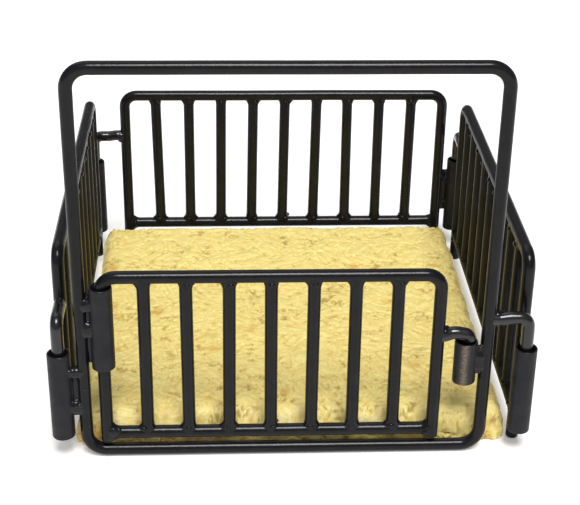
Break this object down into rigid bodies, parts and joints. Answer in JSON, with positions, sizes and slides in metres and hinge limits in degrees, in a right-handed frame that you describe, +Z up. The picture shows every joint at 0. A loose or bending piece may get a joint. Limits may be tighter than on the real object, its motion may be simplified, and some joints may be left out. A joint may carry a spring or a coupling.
{
  "type": "model livestock pen",
  "caption": "Scale-model livestock pen of round black rod: a tall front frame with a hinged gate, barred panels joined at the corners by drop pins, and a loose moulded straw bed.",
  "frame": {"origin": "on the floor, at the middle of the square that the four corner pins stand on", "axes": "+Z up; the gate and the tall front frame face -Y; +X is to the right seen from the gate"},
  "size_m": [0.146, 0.146, 0.127],
  "materials": {
    "rod_paint": "semi-gloss black paint with faint orange peel",
    "barrel_paint": "satin black paint with coarse orange peel",
    "straw_resin": "satin moulded straw, pale yellow with ochre hollows"
  },
  "bodies": {
    "front_frame": {"front_hoop": "rod_paint", "hinge_barrel": "barrel_paint", "latch_barrel": "barrel_paint", "front_corner_barrel": "barrel_paint", "front_welds": "rod_paint", "front_corner_pin": "rod_paint"},
    "gate": {"gate_hoop": "rod_paint", "gate_bottom_rail": "rod_paint", "latch_pin": "rod_paint", "gate_bar_1": "rod_paint", "gate_bar_2": "rod_paint", "gate_bar_3": "rod_paint", "gate_bar_4": "rod_paint", "gate_bar_5": "rod_paint", "gate_bar_6": "rod_paint", "gate_bar_7": "rod_paint"},
    "right_panel": {"right_hoop": "rod_paint", "right_bottom_rail": "rod_paint", "right_corner_barrel": "barrel_paint", "right_barrel_welds": "rod_paint", "right_corner_pin": "rod_paint", "right_bar_1": "rod_paint", "right_bar_2": "rod_paint", "right_bar_3": "rod_paint", "right_bar_4": "rod_paint", "right_bar_5": "rod_paint", "right_bar_6": "rod_paint", "right_bar_7": "rod_paint", "right_bar_8": "rod_paint", "right_bar_9": "rod_paint"},
    "back_panel": {"back_hoop": "rod_paint", "back_bottom_rail": "rod_paint", "back_corner_barrel": "barrel_paint", "back_barrel_welds": "rod_paint", "back_corner_pin": "rod_paint", "back_bar_1": "rod_paint", "back_bar_2": "rod_paint", "back_bar_3": "rod_paint", "back_bar_4": "rod_paint", "back_bar_5": "rod_paint", "back_bar_6": "rod_paint", "back_bar_7": "rod_paint", "back_bar_8": "rod_paint", "back_bar_9": "rod_paint"},
    "left_panel": {"left_hoop": "rod_paint", "left_bottom_rail": "rod_paint", "left_corner_barrel": "barrel_paint", "left_barrel_welds": "rod_paint", "left_corner_pin": "rod_paint", "left_bar_1": "rod_paint", "left_bar_2": "rod_paint", "left_bar_3": "rod_paint", "left_bar_4": "rod_paint", "left_bar_5": "rod_paint", "left_bar_6": "rod_paint", "left_bar_7": "rod_paint", "left_bar_8": "rod_paint", "left_bar_9": "rod_paint"},
    "straw_bed": {"straw_bed": "straw_resin"}
  },
  "joints": [
    {"name": "gate_swing", "type": "hinge", "parent": "front_frame", "child": "gate", "pos_m": [-0.0563, -0.0695, 0.03], "axis": [0, 0, -1], "range_deg": [0, 130]},
    {"name": "left_panel_swing", "type": "hinge", "parent": "front_frame", "child": "left_panel", "pos_m": [-0.0695, -0.0695, 0.03], "axis": [0, 0, 1], "range_deg": [0, 120]},
    {"name": "right_panel_swing", "type": "hinge", "parent": "front_frame", "child": "right_panel", "pos_m": [0.0695, -0.0695, 0.03], "axis": [0, 0, -1], "range_deg": [0, 120]},
    {"name": "back_panel_swing", "type": "hinge", "parent": "left_panel", "child": "back_panel", "pos_m": [-0.0695, 0.0695, 0.03], "axis": [0, 0, 1], "range_deg": [0, 120]},
    {"name": "bed_lift", "type": "slide", "parent": "front_frame", "child": "straw_bed", "axis": [0, 0, 1], "range_m": [0, 0.08]}
  ]
}
